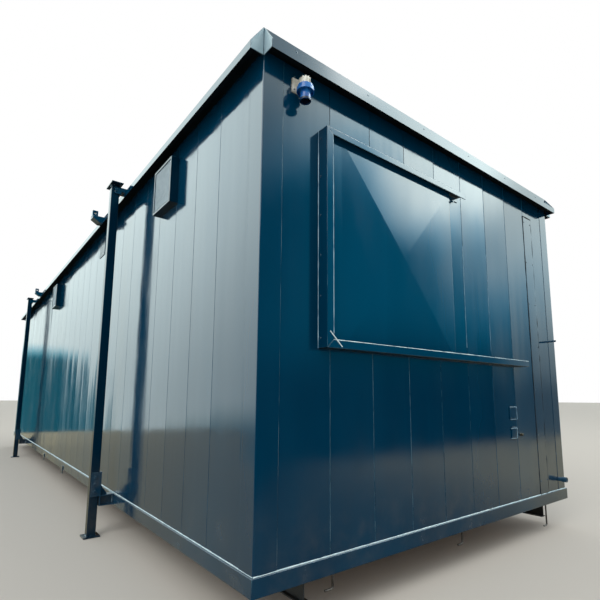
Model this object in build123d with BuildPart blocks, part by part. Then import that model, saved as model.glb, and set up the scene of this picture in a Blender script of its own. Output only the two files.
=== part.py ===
# Portable steel site cabin on four jack legs, built panel by panel.
# The shuttered end faces +X, the vented long side faces -Y, and +Z is up.
# The origin is on the ground, at the middle of everything the cabin covers.
# All sizes are in millimetres.
from build123d import *
import os

os.makedirs("parts", exist_ok=True)

# Whole cabin
length = 9750
width = 3050
ground_gap = 216
rail_height = 83
rail_width = 60
rail_steel = 6
rail_fold = 4
ledge = 12
wall_thickness = 50
eave_top = 2736
eave_drop = 44
eave_reach = 72
eave_return = 25
fascia_height = 107
fascia_lap = 60
fascia_steel = 5
bend_radius = 6
running_gap = 5
seat_gap = 0.3

# Floor and roof
deck_thickness = 18
joist_width = 50
joist_pitch = 600
beam_height = 115
beam_width = 50
beam_steel = 6
beam_spacing = 2414
beam_end_gap = 2
roof_edge = 70
roof_rise = 20

# Wall panels
corner_width = 120
corner_proud = 2
panel_pitch = 309
first_side_panel = 325
joint_width = 3
joint_depth = 3
cover_strip_right = 313
cover_strip_width = 135
cover_strip_drop = 165
cover_strip_steel = 3

# Window behind the sliding shutter
window_width = 900
window_height = 900
window_left = 480
window_drop = 416
window_bar = 45
window_depth = 44
glass_thickness = 6

# Sliding shutter in its three folded rails
shutter_left = 360
shutter_drop = 296
shutter_depth = 59
post_face = 42
top_rail_face = 34
bottom_rail_face = 41
shutter_frame_height = 1160
channel_steel = 5
shutter_head_gap = 8
top_rail_length = 1265
bottom_rail_length = 2040
shutter_width = 1110
shutter_plate = 22
shutter_steel = 3
shutter_face = 27
shutter_break = 11
shutter_margin = 118
handle_reach = 45
handle_height = 70
handle_plate = 8

# Doorway on the long side away from the vents
door_centre = 1350
doorway_width = 900
doorway_height = 2010
door_frame_bar = 50
door_frame_proud = 8
door_gap = 4
door_thickness = 44
door_handle_height = 1050
door_handle_reach = 55
door_handle_inset = 60
door_plate_width = 45
door_plate_height = 180
door_plate_steel = 5
door_lever = 18
door_lever_length = 130

# Jack legs, their brackets and the lifting points
leg_inset = 2100
leg_reach = 138
leg_section = 63
leg_corner = 6
foot_size = 116
foot_plate = 10
cap_length = 186
cap_width = 90
cap_plate = 8
cap_clearance = 14
guide_steel = 6
guide_height = 59
guide_overhang = 8
top_arm_height = 36
base_arm_bottom = 220
base_arm_height = 79
arm_flange = 8
arm_web = 10
gusset_height = 80
gusset_foot = 62
base_bolt_shares = (0.2, 0.5, 0.8)
cheek_height = 177
cheek_overhang = 26
clamp_bolt = 14
clamp_head = 24
clamp_head_height = 8
lug_inset = 760
lug_arm_width = 100
lug_arm_reach = 150
lug_arm_step = 20
lug_arm_rise = 16
lug_eye = 22
lug_plate = 44
lug_block = 50
lug_block_height = 60
lug_corner = 5
lug_stand = 35

# Vents, pipes and fittings
vent_size = 318
vent_depth = 45
vent_drop = 107
vent_near = 1216
vent_far = 5540
vent_rim = 14
vent_recess = 5
vent_sheet = 4
grille_size = 200
grille_centre = 3050
grille_drop = 86
grille_plate = 5
grille_rim = 14
grille_slots = 9
grille_slot = 9
inlet_left = 225
inlet_axis = 47
inlet_base_width = 90
inlet_base_height = 74
inlet_base_depth = 12
inlet_base_rise = 15
inlet_body_radius = 21
inlet_drop = 89
inlet_body_height = 45
inlet_rib_count = 10
inlet_rib = 6
inlet_rib_depth = 10
inlet_rib_pitch = 16
inlet_cap_height = 5
inlet_ring_radius = 40
inlet_ring_height = 9
inlet_collar_radius = 45
inlet_collar_height = 32
inlet_collar_fold = 4
inlet_nozzle_radius = 27
inlet_nozzle_end = 83
inlet_lip = 2
inlet_lip_height = 7
inlet_wall = 4
inlet_bore_top = 24
waste_right = 125
waste_height = 384
waste_radius = 16
waste_bore = 13
waste_reach = 56
pipe_socket = 4
pipe_socket_length = 36
overflow_right = 141
overflow_height = 1521
overflow_radius = 8
overflow_bore = 6
overflow_reach = 55
service_plate = 6
service_covers = ((858, 885, 100, 90), (846, 747, 70, 83))
tap_right = 706
tap_height = 769
tap_radius = 8
tap_reach = 5
hook_radius = 6
hook_foot = 50
hook_inset = 50
hook_nut = 11
hook_nut_height = 9
hook_washer = 32
hook_washer_steel = 2
hook_places = ((0.159, 125), (0.518, 121), (0.902, 38))
bracket_width = 60
bracket_steel = 8
bracket_drop = 40
bracket_places = (4160, 5530)

# Places worked out from the sizes above
inlet_reach = inlet_axis + inlet_collar_radius
front_x = (length + eave_reach - inlet_reach) / 2
rear_x = front_x - length
middle_x = front_x - length / 2
side_y = width / 2
rail_top = ground_gap + rail_height
shutter_top = eave_top - shutter_drop
shutter_bottom = shutter_top - shutter_frame_height
inlet_top = eave_top - inlet_drop
inlet_bottom = inlet_top - inlet_body_height
wall_height = eave_top - rail_top
end_face_x = front_x - ledge
side_face_y = side_y - ledge
front_leg_x = front_x - leg_inset
leg_y = side_y + leg_reach
left_edge_y = -side_y
middle_plane = Plane(origin=(middle_x, 0, 0), z_dir=(1, 0, 0))


def save(part, name):
    """Label a finished piece and write it to its own file."""
    part.label = name
    export_step(part, f"parts/{name}.step")


def across(origin, outward):
    """Plane across a side: sketch x points outward and sketch y points up."""
    out = Vector(*outward)
    return Plane(origin=origin, x_dir=out, z_dir=out.cross(Vector(0, 0, 1)))


def along_front(left, height=0, depth=0):
    """Point on the shuttered end, from its left corner and the ground."""
    return (front_x + depth, left_edge_y + left, height)


def from_right(right, height):
    """Place on the shuttered end, from its right corner and the ground, for a sketch there."""
    return (side_y - right, height)


# Base rails: channels open inward, mitred to each other at the corners
for name, outward, run, distance in (
    ("left_rail", (0, -1, 0), length, side_y),
    ("right_rail", (0, 1, 0), length, side_y),
    ("front_rail", (1, 0, 0), width, length / 2),
    ("rear_rail", (-1, 0, 0), width, length / 2),
):
    out = Vector(*outward)
    side = across(Vector(middle_x, 0, ground_gap) + out * distance, outward)
    with BuildPart() as rail:
        with BuildSketch(side.offset(-run / 2)) as rail_fold_profile:
            with BuildLine():
                Polyline(
                    (-rail_width, rail_height),
                    (0, rail_height),
                    (0, 0),
                    (-rail_width, 0),
                )
                offset(amount=rail_steel, side=Side.RIGHT)
            make_face()
            fillet(rail_fold_profile.vertices().sort_by(Axis.X)[-2:], radius=rail_fold)
        extrude(amount=run)
        for end in (-1, 1):
            corner_point = side.origin + side.z_dir * end * run / 2
            split(
                bisect_by=Plane(origin=corner_point, z_dir=side.z_dir * end - out),
                keep=Keep.BOTTOM,
            )
    save(rail.part, name)

# Two chassis runners under the joists
beam_length = length - 2 * (rail_width + beam_end_gap)
joist_bottom = ground_gap + rail_steel
joist_height = rail_height - rail_steel - deck_thickness
with BuildPart() as chassis_beams:
    with BuildSketch(Plane.YZ.offset(middle_x - beam_length / 2)):
        with Locations(
            (-beam_spacing / 2, joist_bottom - beam_height / 2),
            (beam_spacing / 2, joist_bottom - beam_height / 2),
        ):
            Rectangle(beam_width, beam_height)
            with GridLocations(beam_width + beam_steel, 0, 2, 1):
                Rectangle(beam_width, beam_height - 2 * beam_steel, mode=Mode.SUBTRACT)
    extrude(amount=beam_length)
save(chassis_beams.part, "chassis_beams")

# Joists reach into the long rails and stand on their lower flanges
joist_span = width - 2 * rail_steel - 2 * seat_gap
joist_count = int((length - 2 * rail_width - joist_width) // joist_pitch) + 1
with BuildPart() as floor_joists:
    with BuildSketch(Plane.XY.offset(joist_bottom)):
        with Locations((middle_x, 0)):
            with GridLocations(joist_pitch, 0, joist_count, 1):
                Rectangle(joist_width, joist_span)
    extrude(amount=joist_height)
save(floor_joists.part, "floor_joists")

with BuildPart() as floor_deck:
    with BuildSketch(Plane.XY.offset(rail_top - deck_thickness)):
        with Locations((middle_x, 0)):
            Rectangle(length - 2 * rail_width, width - 2 * rail_width)
    extrude(amount=deck_thickness)
save(floor_deck.part, "floor_deck")

# Corner posts: one folded corner mirrored to the other three
with BuildPart() as corner_posts:
    with BuildSketch(Plane.XY.offset(rail_top)) as corner:
        with Locations((end_face_x + corner_proud, -side_face_y - corner_proud)):
            Rectangle(corner_width, corner_width, align=(Align.MAX, Align.MIN))
        with Locations((end_face_x - wall_thickness, -side_face_y + wall_thickness)):
            Rectangle(corner_width, corner_width, align=(Align.MAX, Align.MIN), mode=Mode.SUBTRACT)
        outer_corner = corner.vertices().sort_by(Axis((0, 0, 0), (1, -1, 0)))[-1]
        fillet(outer_corner, radius=bend_radius)
    extrude(amount=wall_height)
    mirror(about=Plane.XZ)
    mirror(about=middle_plane)
save(corner_posts.part, "corner_posts")

# Wall panels between the posts, with a groove at each panel joint
end_wall_width = width - 2 * ledge - 2 * (corner_width - corner_proud)
side_wall_length = length - 2 * ledge - 2 * (corner_width - corner_proud)
end_joint_count = int(end_wall_width // panel_pitch) - 1
side_joint_count = int((side_wall_length - first_side_panel) // panel_pitch)


def end_wall_plan(facing):
    """Plan of an end wall, its outer face on the side that facing points to."""
    face_x = middle_x + facing * (length / 2 - ledge)
    with BuildSketch() as plan:
        with Locations((face_x - facing * wall_thickness / 2, 0)):
            Rectangle(wall_thickness, end_wall_width)
        first_joint = -end_wall_width / 2 + panel_pitch
        with Locations(
            *[(face_x, first_joint + n * panel_pitch) for n in range(end_joint_count)]
        ):
            Rectangle(2 * joint_depth, joint_width, mode=Mode.SUBTRACT)
    return plan.sketch


def side_wall_plan(facing):
    """Plan of a long wall, its joints set out from the shuttered end."""
    face_y = facing * side_face_y
    with BuildSketch() as plan:
        with Locations((middle_x, face_y - facing * wall_thickness / 2)):
            Rectangle(side_wall_length, wall_thickness)
        first_joint = middle_x + side_wall_length / 2 - first_side_panel
        with Locations(
            *[(first_joint - n * panel_pitch, face_y) for n in range(side_joint_count + 1)]
        ):
            Rectangle(joint_width, 2 * joint_depth, mode=Mode.SUBTRACT)
    return plan.sketch


window_y = left_edge_y + window_left + window_width / 2
window_z = eave_top - window_drop - window_height / 2
with BuildPart() as front_wall:
    with BuildSketch(Plane.XY.offset(rail_top)):
        add(end_wall_plan(1))
    extrude(amount=wall_height)
    with BuildSketch(Plane.YZ.offset(end_face_x)):
        with Locations((window_y, window_z)):
            Rectangle(window_width, window_height)
    extrude(amount=-wall_thickness, mode=Mode.SUBTRACT)
save(front_wall.part, "front_wall")

with BuildPart() as rear_wall:
    with BuildSketch(Plane.XY.offset(rail_top)):
        add(end_wall_plan(-1))
    extrude(amount=wall_height)
save(rear_wall.part, "rear_wall")

with BuildPart() as left_wall:
    with BuildSketch(Plane.XY.offset(rail_top)):
        add(side_wall_plan(-1))
    extrude(amount=wall_height)
save(left_wall.part, "left_wall")

door_plane = Plane(origin=(door_centre, side_face_y, rail_top), x_dir=(-1, 0, 0), z_dir=(0, 1, 0))
with BuildPart() as right_wall:
    with BuildSketch(Plane.XY.offset(rail_top)):
        add(side_wall_plan(1))
    extrude(amount=wall_height)
    with BuildSketch(door_plane):
        Rectangle(doorway_width, doorway_height, align=(Align.CENTER, Align.MIN))
    extrude(amount=-wall_thickness, mode=Mode.SUBTRACT)
save(right_wall.part, "right_wall")

# Steel strip over the joint beside the pipes
with BuildPart() as cover_strip:
    with BuildSketch(Plane.YZ.offset(end_face_x)):
        with Locations(from_right(cover_strip_right, rail_top)):
            Rectangle(
                cover_strip_width,
                wall_height - cover_strip_drop,
                align=(Align.MAX, Align.MIN),
            )
    extrude(amount=cover_strip_steel)
save(cover_strip.part, "cover_strip")

# Folded fascias: an upstand lapped over the roof edge, an eave lip below it and a strip
# that closes the soffit back to the corner posts
soffit_lap = ledge - corner_proud
side_lap = length - 2 * fascia_steel
end_lap = width - 2 * fascia_lap
end_soffit = width - 2 * soffit_lap
for name, outward, run, lap_run, soffit_run, distance in (
    ("left_fascia", (0, -1, 0), length, side_lap, side_lap, side_y),
    ("right_fascia", (0, 1, 0), length, side_lap, side_lap, side_y),
    ("front_fascia", (1, 0, 0), width - 2 * fascia_steel, end_lap, end_soffit, length / 2),
    ("rear_fascia", (-1, 0, 0), width - 2 * fascia_steel, end_lap, end_soffit, length / 2),
):
    out = Vector(*outward)
    side = across(Vector(middle_x, 0, eave_top) + out * distance, outward)
    with BuildPart() as fascia:
        with BuildSketch(side.offset(-run / 2)):
            with BuildLine():
                Polyline(
                    (0, fascia_height),
                    (0, 0),
                    (eave_reach, 0),
                    (eave_reach, -eave_drop),
                    (eave_reach - eave_return, -eave_drop),
                )
                offset(amount=fascia_steel, side=Side.RIGHT)
            make_face()
        extrude(amount=run)
        with BuildSketch(side.offset(-lap_run / 2)):
            with Locations((0, fascia_height)):
                Rectangle(fascia_lap, fascia_steel, align=(Align.MAX, Align.MAX))
        extrude(amount=lap_run)
        with BuildSketch(side.offset(-soffit_run / 2)):
            Rectangle(soffit_lap, fascia_steel, align=(Align.MAX, Align.MAX))
        extrude(amount=soffit_run)
        for place, inward in ((-run / 2, fascia_steel), (run / 2, -fascia_steel)):
            with BuildSketch(side.offset(place)):
                with BuildLine():
                    Polyline(
                        (0, fascia_height),
                        (eave_reach, 0),
                        (eave_reach, -eave_drop),
                        (0, -eave_drop),
                        close=True,
                    )
                make_face()
            extrude(amount=inward)
    save(fascia.part, name)

# Roof slab with a slight fall to both long sides
roof_half = side_y - fascia_steel
with BuildPart() as roof_deck:
    with BuildSketch(Plane.YZ.offset(rear_x + fascia_steel)):
        with BuildLine():
            Polyline(
                (-roof_half, eave_top),
                (roof_half, eave_top),
                (roof_half, eave_top + roof_edge),
                (0, eave_top + roof_edge + roof_rise),
                (-roof_half, eave_top + roof_edge),
                close=True,
            )
        make_face()
    extrude(amount=length - 2 * fascia_steel)
save(roof_deck.part, "roof_deck")

# Window, set flush in its opening
window_x = end_face_x - window_depth
with BuildPart() as window_frame:
    with BuildSketch(Plane.YZ.offset(window_x)):
        with Locations((window_y, window_z)):
            Rectangle(window_width, window_height)
            Rectangle(
                window_width - 2 * window_bar, window_height - 2 * window_bar, mode=Mode.SUBTRACT
            )
    extrude(amount=window_depth)
    with BuildSketch(Plane.YZ.offset(window_x + (window_depth - glass_thickness) / 2)):
        with Locations((window_y, window_z)):
            Rectangle(window_width - window_bar, window_height - window_bar)
    extrude(amount=glass_thickness, mode=Mode.SUBTRACT)
save(window_frame.part, "window_frame")

with BuildPart() as window_glass:
    with BuildSketch(Plane.YZ.offset(window_x + (window_depth - glass_thickness) / 2)):
        with Locations((window_y, window_z)):
            Rectangle(window_width - window_bar, window_height - window_bar)
    extrude(amount=glass_thickness)
save(window_glass.part, "window_glass")

# Shutter rails: folded channels standing off the end wall, mitred at both corners
channel_depth = shutter_depth + ledge


def channel(face):
    """Outline of a folded channel: x runs out from the wall and y towards its mouth."""
    with BuildSketch() as outline:
        with BuildLine():
            Polyline((0, face), (0, 0), (channel_depth, 0), (channel_depth, face))
            offset(amount=channel_steel, side=Side.LEFT)
        make_face()
    return outline.sketch


def mitre(height, rise):
    """Plane of a mitred corner between the post and a rail whose face rises by rise."""
    return Plane(
        origin=along_front(shutter_left, height), x_dir=(1, 0, 0), z_dir=(0, -rise, post_face)
    )


lower_mitre = mitre(shutter_bottom, bottom_rail_face)
upper_mitre = mitre(shutter_top, -top_rail_face)

with BuildPart() as shutter_post:
    with BuildSketch(
        Plane(origin=along_front(shutter_left, shutter_bottom, -ledge), z_dir=(0, 0, 1))
    ):
        add(channel(post_face))
    extrude(amount=shutter_frame_height)
    split(bisect_by=lower_mitre, keep=Keep.TOP)
    split(bisect_by=upper_mitre, keep=Keep.BOTTOM)
save(shutter_post.part, "shutter_post")

with BuildPart() as shutter_bottom_rail:
    rail_end = along_front(shutter_left + bottom_rail_length, shutter_bottom, -ledge)
    with BuildSketch(Plane(origin=rail_end, x_dir=(1, 0, 0), z_dir=(0, -1, 0))):
        add(channel(bottom_rail_face))
    extrude(amount=bottom_rail_length)
    with BuildSketch(Plane(origin=rail_end, x_dir=(1, 0, 0), z_dir=(0, -1, 0))):
        Rectangle(channel_depth, bottom_rail_face, align=(Align.MIN, Align.MIN))
    extrude(amount=channel_steel)
    split(bisect_by=lower_mitre, keep=Keep.BOTTOM)
save(shutter_bottom_rail.part, "shutter_bottom_rail")

with BuildPart() as shutter_top_rail:
    rail_start = along_front(shutter_left, shutter_top, -ledge)
    with BuildSketch(Plane(origin=rail_start, x_dir=(1, 0, 0), z_dir=(0, 1, 0))):
        add(channel(top_rail_face))
    extrude(amount=top_rail_length)
    split(bisect_by=upper_mitre, keep=Keep.TOP)
save(shutter_top_rail.part, "shutter_top_rail")

# Sliding shutter: an open-backed tray with its face cross-broken to a shallow point
tray_left = shutter_left + channel_steel + running_gap
tray_bottom = shutter_bottom + channel_steel + seat_gap
tray_height = shutter_top - channel_steel - shutter_head_gap - tray_bottom
tray_back = front_x + shutter_face - shutter_plate
break_width = shutter_width - shutter_margin
break_centre_y = left_edge_y + tray_left + shutter_margin + break_width / 2
with BuildPart() as shutter_panel:
    with BuildSketch(Plane.YZ.offset(tray_back)):
        with Locations((left_edge_y + tray_left, tray_bottom)):
            Rectangle(shutter_width, tray_height, align=(Align.MIN, Align.MIN))
    extrude(amount=shutter_plate)
    with BuildSketch(Plane.YZ.offset(tray_back)):
        with Locations((left_edge_y + tray_left + shutter_steel, tray_bottom + shutter_steel)):
            Rectangle(
                shutter_width - 2 * shutter_steel,
                tray_height - 2 * shutter_steel,
                align=(Align.MIN, Align.MIN),
            )
    extrude(amount=shutter_plate - shutter_steel, mode=Mode.SUBTRACT)
    with BuildSketch(Plane.YZ.offset(front_x + shutter_face)) as broken_face:
        with Locations((break_centre_y, tray_bottom + tray_height / 2)):
            Rectangle(break_width, tray_height)
    loft(
        sections=[
            broken_face.sketch,
            Vertex(
                front_x + shutter_face + shutter_break,
                break_centre_y,
                tray_bottom + tray_height / 2,
            ),
        ]
    )
save(shutter_panel.part, "shutter_panel")

handle_y = left_edge_y + tray_left + shutter_width
handle_top = shutter_top - top_rail_face - running_gap
with BuildPart() as shutter_handle:
    with BuildSketch(Plane.YZ.offset(tray_back + (shutter_plate - handle_plate) / 2)):
        with BuildLine():
            Polyline(
                (handle_y, handle_top),
                (handle_y + handle_reach / 2, handle_top),
                (handle_y + handle_reach, handle_top - handle_height / 2),
                (handle_y, handle_top - handle_height),
                close=True,
            )
        make_face()
    extrude(amount=handle_plate)
save(shutter_handle.part, "shutter_handle")

# Entrance door in the doorway
with BuildPart() as door_frame:
    with BuildSketch(door_plane.offset(-wall_thickness)):
        Rectangle(doorway_width, doorway_height, align=(Align.CENTER, Align.MIN))
        with Locations((0, door_frame_bar)):
            Rectangle(
                doorway_width - 2 * door_frame_bar,
                doorway_height - 2 * door_frame_bar,
                align=(Align.CENTER, Align.MIN),
                mode=Mode.SUBTRACT,
            )
    extrude(amount=wall_thickness + door_frame_proud)
save(door_frame.part, "door_frame")

leaf_width = doorway_width - 2 * door_frame_bar - 2 * door_gap
leaf_height = doorway_height - 2 * door_frame_bar - door_gap - seat_gap
with BuildPart() as door_leaf:
    with BuildSketch(door_plane):
        with Locations((0, door_frame_bar + seat_gap)):
            Rectangle(leaf_width, leaf_height, align=(Align.CENTER, Align.MIN))
    extrude(amount=-door_thickness)
save(door_leaf.part, "door_leaf")

# Lever handle on its backplate
handle_x = leaf_width / 2 - door_handle_inset
with BuildPart() as door_handle:
    with BuildSketch(door_plane):
        with Locations((handle_x, door_handle_height)):
            RectangleRounded(door_plate_width, door_plate_height, bend_radius)
    extrude(amount=door_plate_steel)
    with BuildSketch(door_plane):
        with Locations((handle_x, door_handle_height + door_plate_width)):
            Circle(door_lever / 2)
    extrude(amount=door_handle_reach)
    with BuildSketch(door_plane.offset(door_handle_reach - door_lever)):
        with Locations((handle_x + door_lever / 2, door_handle_height + door_plate_width)):
            Rectangle(door_lever_length, door_lever, align=(Align.MAX, Align.CENTER))
    extrude(amount=door_lever)
save(door_handle.part, "door_handle")

# Power inlet: ribbed body on a backplate, with a hooded socket facing down
inlet_centre = along_front(inlet_left, inlet_bottom, inlet_axis)
inlet_base_place = along_front(inlet_left, inlet_top + inlet_base_rise)[1:]
with BuildPart() as power_inlet:
    with BuildSketch(Plane.YZ.offset(end_face_x)):
        with Locations(inlet_base_place):
            Rectangle(inlet_base_width, inlet_base_height, align=(Align.CENTER, Align.MAX))
    extrude(amount=inlet_base_depth)
    with BuildSketch(Plane(origin=inlet_centre)):
        Circle(inlet_body_radius)
        Rectangle(
            inlet_axis + ledge - inlet_base_depth,
            2 * inlet_body_radius,
            align=(Align.MAX, Align.CENTER),
        )
        with PolarLocations(inlet_body_radius, inlet_rib_count):
            Rectangle(inlet_rib_depth, inlet_rib)
        with Locations((-inlet_rib_pitch, 0), (-2 * inlet_rib_pitch, 0)):
            Rectangle(inlet_rib, 2 * inlet_body_radius + inlet_rib_depth)
    extrude(amount=inlet_body_height)
    with BuildSketch(Plane(origin=inlet_centre).offset(inlet_body_height)):
        Circle(inlet_body_radius - inlet_rib)
    extrude(amount=inlet_cap_height)
save(power_inlet.part, "power_inlet")

nozzle_end = inlet_nozzle_radius + inlet_lip
hood_top = -inlet_ring_height - 2 * inlet_collar_fold
with BuildPart() as inlet_socket:
    with BuildSketch(Plane(origin=inlet_centre, x_dir=(1, 0, 0), z_dir=(0, -1, 0))):
        with BuildLine():
            Polyline(
                (0, 0),
                (inlet_ring_radius, 0),
                (inlet_ring_radius, -inlet_ring_height),
                (inlet_collar_radius - inlet_collar_fold, -inlet_ring_height),
                (inlet_collar_radius, -inlet_ring_height - inlet_collar_fold),
                (inlet_collar_radius, -inlet_collar_height),
                (inlet_collar_radius - inlet_wall, -inlet_collar_height),
                (inlet_collar_radius - inlet_wall, hood_top),
                (inlet_nozzle_radius, hood_top),
                (inlet_nozzle_radius, -inlet_nozzle_end + inlet_lip_height),
                (nozzle_end, -inlet_nozzle_end + inlet_lip_height),
                (nozzle_end, -inlet_nozzle_end),
                (inlet_nozzle_radius - inlet_wall, -inlet_nozzle_end),
                (inlet_nozzle_radius - inlet_wall, -inlet_bore_top),
                (0, -inlet_bore_top),
                close=True,
            )
        make_face()
    revolve(axis=Axis(inlet_centre, (0, 0, 1)))
save(inlet_socket.part, "inlet_socket")

# Vent boxes on the long side: an open frame with a sheet set back in its mouth
left_face = Plane(origin=(0, -side_face_y, 0), x_dir=(1, 0, 0), z_dir=(0, -1, 0))
vent_height = eave_top - vent_drop - vent_size / 2
vent_places = [(front_x - vent_near, vent_height), (front_x - vent_far, vent_height)]
vent_hollow = vent_size - 2 * vent_rim
with BuildPart() as vent_boxes:
    with BuildSketch(left_face):
        with Locations(*vent_places):
            Rectangle(vent_size, vent_size)
            Rectangle(vent_hollow, vent_hollow, mode=Mode.SUBTRACT)
    extrude(amount=vent_depth + ledge)
save(vent_boxes.part, "vent_boxes")

with BuildPart() as vent_sheets:
    with BuildSketch(left_face.offset(vent_depth + ledge - vent_recess)):
        with Locations(*vent_places):
            Rectangle(vent_hollow, vent_hollow)
    extrude(amount=-vent_sheet)
save(vent_sheets.part, "vent_sheets")

with BuildPart() as wall_grille:
    with BuildSketch(left_face):
        with Locations((front_x - grille_centre, eave_top - grille_drop - grille_size / 2)):
            Rectangle(grille_size, grille_size)
            with GridLocations(0, (grille_size - grille_rim) / grille_slots, 1, grille_slots):
                Rectangle(grille_size - 2 * grille_rim, grille_slot, mode=Mode.SUBTRACT)
    extrude(amount=grille_plate)
save(wall_grille.part, "wall_grille")

# Pipes and water fittings at the right of the shuttered end
front_face = Plane.YZ.offset(end_face_x)
with BuildPart() as drain_pipes:
    with BuildSketch(front_face.offset(corner_proud)):
        with Locations(from_right(waste_right, waste_height)):
            Circle(waste_radius)
            Circle(waste_bore, mode=Mode.SUBTRACT)
    extrude(amount=waste_reach + ledge - corner_proud)
    with BuildSketch(Plane.YZ.offset(front_x + waste_reach)):
        with Locations(from_right(waste_right, waste_height)):
            Circle(waste_radius + pipe_socket)
            Circle(waste_bore, mode=Mode.SUBTRACT)
    extrude(amount=-pipe_socket_length)
    with BuildSketch(front_face):
        with Locations(from_right(overflow_right, overflow_height)):
            Circle(overflow_radius)
            Circle(overflow_bore, mode=Mode.SUBTRACT)
    extrude(amount=overflow_reach + ledge)
save(drain_pipes.part, "drain_pipes")

with BuildPart() as service_plates:
    with BuildSketch(front_face):
        for right, bottom, wide, high in service_covers:
            with Locations(from_right(right, bottom)):
                Rectangle(wide, high, align=(Align.MIN, Align.MIN))
    extrude(amount=service_plate)
save(service_plates.part, "service_plates")

with BuildPart() as tap_stub:
    with BuildSketch(front_face):
        with Locations(from_right(tap_right, tap_height)):
            Circle(tap_radius)
    extrude(amount=tap_reach + ledge)
save(tap_stub.part, "tap_stub")

# Hook bolts hanging from the front rail under a nut and washer, each bent to a short foot
with BuildPart() as hook_bolts:
    for share, bottom in hook_places:
        top = Vector(*along_front(width * share, ground_gap, -hook_inset))
        bend = Vector(top.X, top.Y, bottom + hook_radius)
        with BuildLine() as rod:
            FilletPolyline(top, bend, bend - Vector(0, hook_foot, 0), radius=2 * hook_radius)
        with BuildSketch(Plane(origin=top, z_dir=(0, 0, -1))):
            Circle(hook_radius)
        sweep(path=rod.line)
        with BuildSketch(Plane(origin=top, z_dir=(0, 0, -1))):
            Rectangle(hook_washer, hook_washer)
        extrude(amount=hook_washer_steel)
        with BuildSketch(Plane(origin=top, z_dir=(0, 0, -1)).offset(hook_washer_steel)):
            RegularPolygon(hook_nut, 6)
        extrude(amount=hook_nut_height)
save(hook_bolts.part, "hook_bolts")

with BuildPart() as rail_brackets:
    with BuildSketch(left_face.offset(ledge)):
        with Locations(*[(front_x - place, ground_gap) for place in bracket_places]):
            Rectangle(bracket_width, 2 * bracket_drop)
    extrude(amount=bracket_steel)
save(rail_brackets.part, "rail_brackets")

# Brackets that guide and clamp the legs, one of each kind mirrored to the other legs
leg_side = across((front_leg_x, left_edge_y, 0), (0, -1, 0))
guide_inner = leg_section + 2 * running_gap
guide_outer = guide_inner + 2 * guide_steel
guide_back = leg_reach - guide_inner / 2
bolt_tip = leg_section / 2 + seat_gap


def leg_guide(bottom, height, overhang, bolt_shares):
    """Guide round a leg, open outward, with pairs of clamp bolts through its cheeks."""
    depth = leg_reach + overhang - guide_back
    with BuildPart() as guide:
        with BuildSketch(Plane.XY.offset(bottom)):
            with Locations((front_leg_x, left_edge_y - guide_back)):
                with Locations((0, bracket_steel)):
                    Rectangle(guide_outer, depth + bracket_steel, align=(Align.CENTER, Align.MAX))
                Rectangle(
                    guide_inner, depth, align=(Align.CENTER, Align.MAX), mode=Mode.SUBTRACT
                )
        extrude(amount=height)
        bolt_places = [(-leg_y, bottom + height * share) for share in bolt_shares]
        with BuildSketch(Plane.YZ.offset(front_leg_x + bolt_tip)):
            with Locations(*bolt_places):
                RegularPolygon(clamp_bolt / 2, 6)
        extrude(amount=guide_outer / 2 - bolt_tip)
        with BuildSketch(Plane.YZ.offset(front_leg_x + guide_outer / 2)):
            with Locations(*bolt_places):
                RegularPolygon(clamp_head / 2, 6)
        extrude(amount=clamp_head_height)
        mirror(about=Plane.YZ.offset(front_leg_x))
    return guide.part


cheek_bottom = base_arm_bottom + base_arm_height - guide_steel
back_height = cheek_bottom + cheek_height - base_arm_bottom
arm_top = base_arm_bottom + base_arm_height
with BuildPart() as base_brackets:
    with BuildSketch(leg_side):
        with Locations((0, base_arm_bottom), (0, arm_top - arm_flange)):
            Rectangle(guide_back, arm_flange, align=(Align.MIN, Align.MIN))
        with Locations((guide_back, base_arm_bottom)):
            Rectangle(bracket_steel, back_height, align=(Align.MAX, Align.MIN))
    extrude(amount=guide_outer / 2, both=True)
    with BuildSketch(leg_side):
        with Locations((0, base_arm_bottom)):
            Rectangle(guide_back, base_arm_height, align=(Align.MIN, Align.MIN))
        with BuildLine():
            Polyline(
                (guide_back, arm_top),
                (guide_back, arm_top + gusset_height),
                (guide_back - bracket_steel, arm_top + gusset_height),
                (guide_back - gusset_foot, arm_top),
                close=True,
            )
        make_face()
    extrude(amount=arm_web / 2, both=True)
    add(leg_guide(cheek_bottom, cheek_height, cheek_overhang, base_bolt_shares))
    mirror(about=Plane.XZ)
    mirror(about=middle_plane)
save(base_brackets.part, "base_brackets")

guide_bottom = eave_top + top_arm_height - guide_height
with BuildPart() as top_brackets:
    with BuildSketch(leg_side):
        with Locations((0, eave_top)):
            Rectangle(guide_back, top_arm_height, align=(Align.MIN, Align.MIN))
    extrude(amount=guide_outer / 2, both=True)
    add(leg_guide(guide_bottom, guide_height, guide_overhang, (1 / 2,)))
    mirror(about=Plane.XZ)
    mirror(about=middle_plane)
save(top_brackets.part, "top_brackets")

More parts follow.
